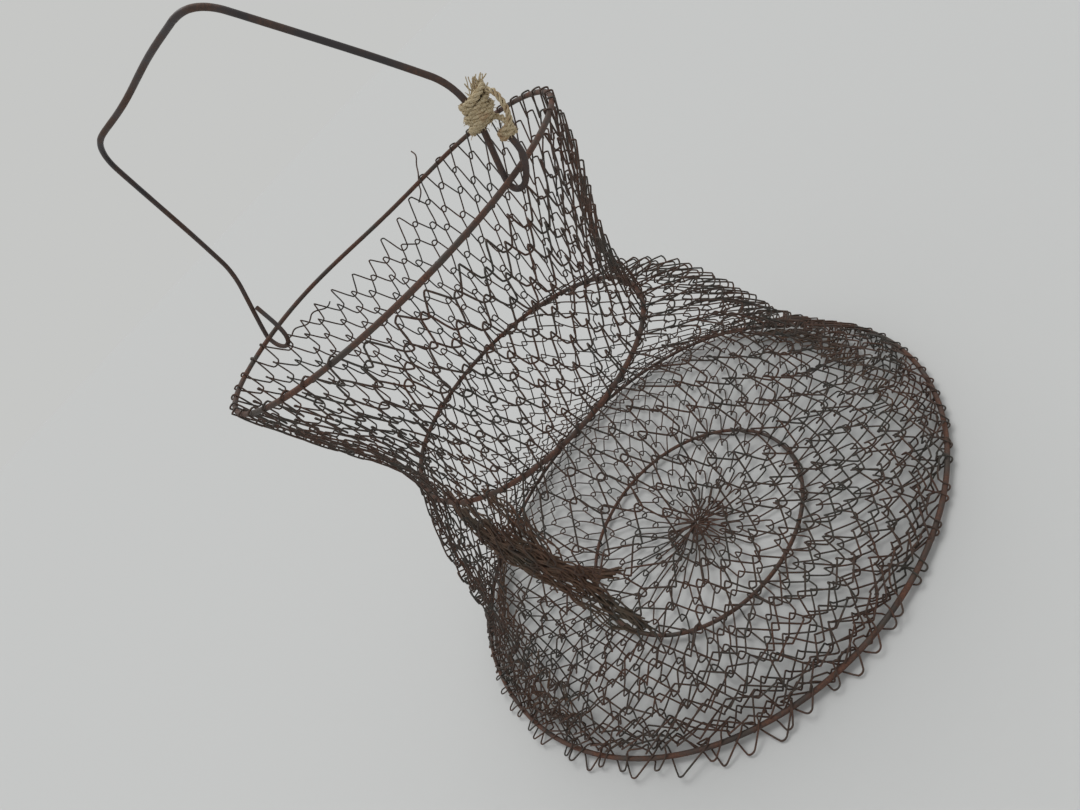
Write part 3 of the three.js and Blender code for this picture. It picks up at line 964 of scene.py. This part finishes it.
def folded_wires():
    """Open runs of wire that zigzag along the folds, each over a part of its fold."""
    wires = []
    for knots, count, sway in FOLDS:
        knots = np.array(knots, float)
        places, widths = knots[:, :3], knots[:, 3]
        run = run_of(places)
        for _ in range(count):
            first = rng.uniform(*FOLD_STARTS) * run[-1]
            last = min(run[-1], first + rng.uniform(*FOLD_LENGTHS) * run[-1])
            at = np.arange(first, last, FOLD_LEG)
            at = at + rng.normal(0, FOLD_LEG_STRAY, len(at))
            line = on_knots(at, run, places)
            along = unit(on_knots(at + FOLD_LOOK, run, places) - on_knots(at - FOLD_LOOK, run, places))
            out = outer_side(line)
            across = unit(np.cross(along, out))
            zigzag = sway * np.where(np.arange(len(at)) % 2, 1, -1)
            side = rng.uniform(*FOLD_SIDES) + zigzag * rng.uniform(*FOLD_SWAYS, len(at))
            depth = rng.uniform(-1, 1) * FOLD_DEPTH + rng.normal(0, FOLD_DEPTH_STRAY, len(at))
            wire = line + across * (side * np.interp(at, run, widths))[:, None] + out * depth[:, None]
            wires.append(off_ground(rounded(wire, passes=2)))
    return [wire for wire in wires if len(wire) >= LEAST_FOLD_POINTS]


def stray_wires(zone):
    """Broken wires of the sleeve: one stands up off its free edge, and one hangs along that edge."""
    foot = zone_place(zone, np.array([STANDING_ANGLE]), np.array([STANDING_FOOT]))[0]
    standing = rounded(foot + np.array(STANDING_WIRE, float), passes=3)
    angle = np.linspace(*HANGING_WIRE, HANGING_KNOTS)
    waver = HANGING_WAVER * np.sin(np.linspace(0, HANGING_RADIANS, HANGING_KNOTS))
    drop = by_angle(FREE_EDGE, angle) + HANGING_BELOW + waver
    hanging = rounded(zone_place(zone, angle, drop / HANGING_FALL), passes=2)
    return [standing, hanging]


# Bail and twine.


def corner_points(before, corner, after, size):
    """A short arc in place of a corner."""
    start = corner + unit(before - corner) * size
    end = corner + unit(after - corner) * size
    share = np.linspace(0, 1, CORNER_POINTS)[:, None]
    return (1 - share) ** 2 * start + 2 * share * (1 - share) * corner + share ** 2 * end


def on_leg(across, up):
    """A place on the bail's lower legs, which lean back as they rise."""
    return np.array([across, up / KINK_HEIGHT * KINK_BACK, up])


rim = rings["rim_ring"]
BAIL_MIDDLE = rim.centre - np.array([0.0, BAIL_OFFSET, 0.0])
HOOK_REACH = math.sqrt(rim.radius ** 2 - BAIL_OFFSET ** 2)


def hook_points(side, places):
    """The places of a hook, on the left at side -1 or on the right at side 1."""
    return [on_leg(side * HOOK_REACH + across, up) for across, up in places]


def bail_path():
    """The bail's middle line, from the tail of its left hook to that of its right one."""
    left = hook_points(-1, LEFT_HOOK)[::-1]
    right = hook_points(1, RIGHT_HOOK)
    kink = HOOK_REACH - KINK_INSET
    corners = [on_leg(-kink, KINK_HEIGHT), np.array([-GRIP_HALF, -GRIP_FORWARD, BAIL_HEIGHT]),
               np.array([GRIP_HALF, -GRIP_FORWARD, BAIL_HEIGHT]), on_leg(kink, KINK_HEIGHT)]
    stops = [left[-1], *corners, right[0]]
    sizes = (KINK_CORNER, GRIP_CORNER, GRIP_CORNER, KINK_CORNER)
    path = list(left)
    for before, corner, after, size in zip(stops, stops[1:], stops[2:], sizes):
        path.extend(corner_points(before, corner, after, size))
        if corner is corners[1]:
            for share in GRIP_STEPS:
                path.append(path[-1] + (after - path[-1]) * share)
    path.extend(right)
    path = rounded(path, passes=3)
    high = np.clip((path[:, 2] - KINK_HEIGHT) / WAVER_RISE, 0, 1)
    path[:, 2] += BAIL_WAVER * high * np.sin(path[:, 0] / WAVE_UP)
    path[:, 1] += BAIL_WAVER * high * np.sin(path[:, 0] / WAVE_OUT + WAVE_OUT_START)
    return path


def by_hook(across, up, out):
    """A place beside the tied hook: across from the rim wire, up from it, and out of the bail's plane."""
    return BAIL_MIDDLE + on_leg(HOOK_REACH + across, up) + np.array([0.0, out, 0.0])


def there_and_back(times, share):
    """From 0 to 1 and back, some times over."""
    return 0.5 - 0.5 * math.cos(2 * math.pi * times * share)


def ripple(size, rate, turn):
    """A wave that comes back at some rate in each turn."""
    return size * math.sin(rate * turn)


def twine_line():
    """The middle line of the twine: round the tail's end, across to the leg, and round that in a knot."""
    reach = BAIL_WIRE / 2 + TWINE_STRAND
    points = []
    for share in np.linspace(0, 1, TAIL_POINTS):
        turn = 2 * math.pi * TAIL_TURNS * share
        across, up = TAIL_END[0] + reach * math.cos(turn), TAIL_END[1] + TAIL_CLIMB * share
        points.append(by_hook(across, up, reach * math.sin(turn)))
    points += [by_hook(*place) for place in TWINE_CROSSING]
    stops = np.linspace(0, 1, 4 * KNOT_TURNS)
    wander = rng.normal(0, KNOT_WANDER, (3, len(stops)))
    for share in np.linspace(0, 1, KNOT_POINTS):
        turn = 2 * math.pi * KNOT_TURNS * share
        off = reach + KNOT_BULGE * there_and_back(KNOT_LAYERS, share) * (1 + ripple(*KNOT_UNEVEN, turn))
        across = KNOT_ASIDE + KNOT_LUMP * math.sin(math.pi * share) + off * math.cos(turn)
        up = KNOT_FOOT + KNOT_HEIGHT * there_and_back(KNOT_CLIMBS, share) + ripple(*KNOT_CROSSING, turn)
        aside, above, out = (np.interp(share, stops, way) for way in wander)
        points.append(by_hook(across + aside, up + above, off * math.sin(turn) + out))
    return rounded(np.array(points), passes=1)


def twine_strands(line):
    """Strands laid round the twine's middle line."""
    along = unit(np.gradient(line, axis=0))
    side = unit(np.cross(along, np.array(NEVER_ALONG_TWINE)))
    other = np.cross(along, side)
    run = run_of(line)
    uneven, rate = STRAND_UNEVEN
    strands = []
    for strand in range(TWINE_STRANDS):
        turn = 2 * math.pi * (run / TWINE_LAY + strand / TWINE_STRANDS)
        off = TWINE_STRAND * STRAND_OFF * (1 + uneven * np.sin(rate * turn))
        strands.append(line + (off * np.cos(turn))[:, None] * side + (off * np.sin(turn))[:, None] * other)
    return strands


def twine_bridge():
    """The middle line of a thinner stretch of twine, from the knot's top round to the tail's end."""
    return rounded(np.array([by_hook(*place) for place in TWINE_BRIDGE]), passes=3)


def fibre(start, way, length, curl):
    """One loose fibre that leaves a place and curls away."""
    points = [start]
    heading = unit(way)
    for _ in range(FIBRE_STEPS):
        heading = unit(heading + curl * rng.normal(0, 1, 3))
        points.append(points[-1] + heading * length / FIBRE_STEPS)
    return np.array(points)


def loose_fibres(line):
    """Fibres that stand off the twine all along."""
    starts = line[rng.integers(FIRST_LOOSE, len(line), LOOSE_FIBRES)]
    return [fibre(start, rng.normal(0, 1, 3), rng.uniform(*LOOSE_LENGTHS), LOOSE_CURL) for start in starts]


def frayed_end():
    """The brush of the twine's end."""
    fibres = []
    for _ in range(TUFT_FIBRES):
        start = by_hook(*TUFT_PLACE) + rng.normal(0, TUFT_WIDTH, 3)
        way = np.array(TUFT_WAY) + rng.normal(0, TUFT_FAN, 3)
        fibres.append(fibre(start, way, TUFT_LENGTH * rng.uniform(*TUFT_SHARES), TUFT_CURL))
    return fibres


# Stage.


def add_camera():
    data = bpy.data.cameras.new("camera")
    data.sensor_width = SENSOR_WIDTH
    data.lens = SENSOR_WIDTH * FOCAL_PIXELS / IMAGE_WIDTH
    data.clip_start = 0.01
    camera = bpy.data.objects.new("camera", data)
    look = Vector(CAMERA_LOOK).normalized()
    right = look.cross(Vector(CAMERA_UP)).normalized()
    turn = Matrix((right, right.cross(look), -look)).transposed()
    camera.matrix_world = Matrix.Translation(Vector(CAMERA_PLACE) * MM) @ turn.to_4x4()
    bpy.context.scene.collection.objects.link(camera)
    bpy.context.scene.camera = camera


def add_world():
    world = bpy.data.worlds.new("studio")
    bpy.context.scene.world = world
    world.use_nodes = True
    tree = world.node_tree
    tree.nodes.clear()
    out = tree.nodes.new("ShaderNodeOutputWorld")
    light = tree.nodes.new("ShaderNodeBackground")
    light.inputs["Color"].default_value = (*WORLD_COLOUR, 1.0)
    light.inputs["Strength"].default_value = WORLD_LEVEL
    seen = tree.nodes.new("ShaderNodeBackground")
    seen.inputs["Color"].default_value = (*BACKDROP_COLOUR, 1.0)
    ray = tree.nodes.new("ShaderNodeLightPath")
    either = ray.outputs["Is Camera Ray"]
    for name in ("Is Glossy Ray", "Is Transmission Ray"):
        most = tree.nodes.new("ShaderNodeMath")
        most.operation = "MAXIMUM"
        link(tree, either, most.inputs[0])
        link(tree, ray.outputs[name], most.inputs[1])
        either = most.outputs["Value"]
    mix = tree.nodes.new("ShaderNodeMixShader")
    link(tree, either, mix.inputs["Fac"])
    link(tree, light.outputs["Background"], mix.inputs[1])
    link(tree, seen.outputs["Background"], mix.inputs[2])
    link(tree, mix.outputs["Shader"], out.inputs["Surface"])


def add_floor():
    mesh = bpy.data.meshes.new("floor")
    corners = [(x * FLOOR_REACH, y * FLOOR_REACH, 0) for x, y in ((-1, -1), (1, -1), (1, 1), (-1, 1))]
    mesh.from_pydata(corners, [], [(0, 1, 2, 3)])
    material = bpy.data.materials.new("pale_floor")
    material.use_nodes = True
    shader = material.node_tree.nodes["Principled BSDF"]
    shader.inputs["Base Color"].default_value = (*FLOOR_COLOUR, 1.0)
    shader.inputs["Roughness"].default_value = 0.95
    shader.inputs["Specular IOR Level"].default_value = 0.1
    mesh.materials.append(material)
    floor = bpy.data.objects.new("floor", mesh)
    bpy.context.scene.collection.objects.link(floor)


def add_sun():
    data = bpy.data.lights.new("overhead", "SUN")
    data.angle = math.radians(SUN_WIDTH)
    data.energy = SUN_LEVEL
    lamp = bpy.data.objects.new("overhead", data)
    lamp.rotation_euler = (-Vector(SUN_PLACE)).to_track_quat("-Z", "Y").to_euler()
    bpy.context.scene.collection.objects.link(lamp)


bpy.context.scene.view_settings.view_transform = "Standard"
add_camera()
add_world()
add_floor()
add_sun()

skin = rust_skin_group()
mesh_rust = wire_material("mesh_rust", skin, WireFinish(
    dark=(0.040, 0.034, 0.027), faded=(0.056, 0.050, 0.040),
    rust=(0.078, 0.046, 0.034), bloom=(0.13, 0.062, 0.040),
    metallic=0.2, roughness=(0.55, 0.85), patch_scale=45.0, fleck_scale=900.0, bump=0.5))
fold_rust = wire_material("fold_rust", skin, WireFinish(
    dark=(0.082, 0.058, 0.039), faded=(0.092, 0.069, 0.046),
    rust=(0.122, 0.073, 0.048), bloom=(0.17, 0.085, 0.053),
    metallic=0.1, roughness=(0.65, 0.9), patch_scale=45.0, fleck_scale=900.0, bump=0.5))
hoop_rust = wire_material("hoop_rust", skin, WireFinish(
    dark=(0.054, 0.039, 0.032), faded=(0.068, 0.055, 0.044),
    rust=(0.104, 0.053, 0.038), bloom=(0.18, 0.08, 0.048),
    metallic=0.2, roughness=(0.6, 0.9), patch_scale=70.0, fleck_scale=1100.0, bump=0.6))
bail_steel = wire_material("bail_steel", skin, WireFinish(
    dark=(0.046, 0.040, 0.041), faded=(0.064, 0.058, 0.060),
    rust=(0.080, 0.052, 0.042), bloom=(0.12, 0.065, 0.045),
    metallic=0.45, roughness=(0.4, 0.7), patch_scale=55.0, fleck_scale=1000.0, bump=0.35))
frayed_twine = twine_material()

HOOP_BODIES = {"rim_ring": "rim", "neck_ring": "neck", "base_ring": "base", "floor_ring": "base",
               "centre_ring": "base"}
for node, body in HOOP_BODIES.items():
    wire = swept(node + "_wire", HOOP_WIRES[node], HOOP_SIDES, hoop_rust, loops=[hoop_path(rings[node])],
                 pitting=HOOP_PITTING)
    hoop = piece_of(node.replace("ring", "hoop"), wire)
    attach(hoop, body)
    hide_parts(node)

sleeve = Zone(rings["rim_ring"], rings["neck_ring"], SLEEVE_ROWS, hollow=SLEEVE_HOLLOW, fuller=SLEEVE_FULLER,
              eased=SLEEVE_EASED, shingle=SLEEVE_SHINGLE, free_edge=True, folds=True)
wall = Zone(rings["neck_ring"], rings["base_ring"], WALL_ROWS, bulge=WALL_BULGE, hollow=WALL_HOLLOW,
            fuller=WALL_FULLER, flatter=WALL_FLATTER, eased=WALL_EASED, shingle=WALL_SHINGLE,
            depth=SLACK_DEPTH, creased=True, folds=True)
floor_zone = Zone(rings["base_ring"], rings["floor_ring"], FLOOR_ROWS, swell=FLOOR_SWELL,
                  upper_bend=ROUND_BEND, lower_bend=TIGHT_BEND)
centre_zone = Zone(rings["floor_ring"], rings["centre_ring"], CENTRE_ROWS, CENTRE_BENDS, swell=FLOOR_SWELL,
                   upper_bend=ROUND_BEND, lower_bend=TIGHT_BEND, heaped=True)

sleeve_wires, phase = zone_wires(sleeve, 0.0)
wall_wires, phase = zone_wires(wall, phase)
floor_wires, phase = zone_wires(floor_zone, phase)
centre_wires, _ = zone_wires(centre_zone, phase * CENTRE_BENDS / BENDS)


def mesh_piece(name, material, rows=(), stretches=()):
    """A piece of mesh wire: closed rows and open stretches."""
    return piece_of(name, swept(name + "_wire", MESH_WIRE, MESH_SIDES, material, loops=rows, runs=stretches))


sleeve_mesh = mesh_piece("sleeve_mesh", mesh_rust, sleeve_wires.rows,
                         sleeve_wires.stretches + stray_wires(sleeve))
wall_mesh = mesh_piece("wall_mesh", mesh_rust, wall_wires.rows, wall_wires.stretches)
gathered_mesh = mesh_piece("gathered_mesh", fold_rust, stretches=folded_wires())
floor_mesh = mesh_piece("floor_mesh", mesh_rust, floor_wires.rows + centre_wires.rows)
rim_bends = mesh_piece("rim_bends", mesh_rust, stretches=sleeve_wires.upper_bends)
neck_bends = mesh_piece("neck_bends", mesh_rust, stretches=sleeve_wires.lower_bends + wall_wires.upper_bends)
base_bends = mesh_piece("base_bends", mesh_rust, stretches=wall_wires.lower_bends)


def fold_flat(piece):
    """Gives a piece of a zone its own copy of its mesh; it folds nothing."""
    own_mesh(piece)


def nodes_named(*starts):
    return [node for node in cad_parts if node.startswith(starts)]


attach(sleeve_mesh, "neck")
fold_flat(sleeve_mesh)
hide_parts(*nodes_named("sleeve_row"))
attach(wall_mesh, "base")
fold_flat(wall_mesh)
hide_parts(*nodes_named("wall_row"))
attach(gathered_mesh, "base")
fold_flat(gathered_mesh)
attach(floor_mesh, "base")
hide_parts(*nodes_named("floor_row", "centre_row"))
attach(rim_bends, "rim")
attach(neck_bends, "neck")
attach(base_bends, "base")

bail_wire = swept("bail_wire", BAIL_WIRE, BAIL_SIDES, bail_steel, runs=[BAIL_MIDDLE + bail_path()],
                  pitting=BAIL_PITTING)
bent_bail = piece_of("bent_bail", bail_wire)
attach(bent_bail, "bail")
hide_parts("bail")

twine = twine_line()
strands = swept("twine_strands", TWINE_STRAND, STRAND_SIDES, frayed_twine, runs=twine_strands(twine),
                pitting=TWINE_PITTING, pitting_scale=STRAND_PITTING_SCALE)
bridge = swept("twine_bridge", BRIDGE_STRAND, STRAND_SIDES, frayed_twine, runs=twine_strands(twine_bridge()),
               pitting=TWINE_PITTING, pitting_scale=STRAND_PITTING_SCALE)
fibres = swept("loose_fibres", TWINE_FIBRE, FIBRE_SIDES, frayed_twine, runs=loose_fibres(twine),
               pitting=TWINE_PITTING)
tuft = swept("frayed_end", TUFT_FIBRE, FIBRE_SIDES, frayed_twine, runs=frayed_end(), pitting=TWINE_PITTING)
twine_knot = piece_of("twine_knot", strands, bridge, fibres, tuft)
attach(twine_knot, "bail")
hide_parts("twine_tie")
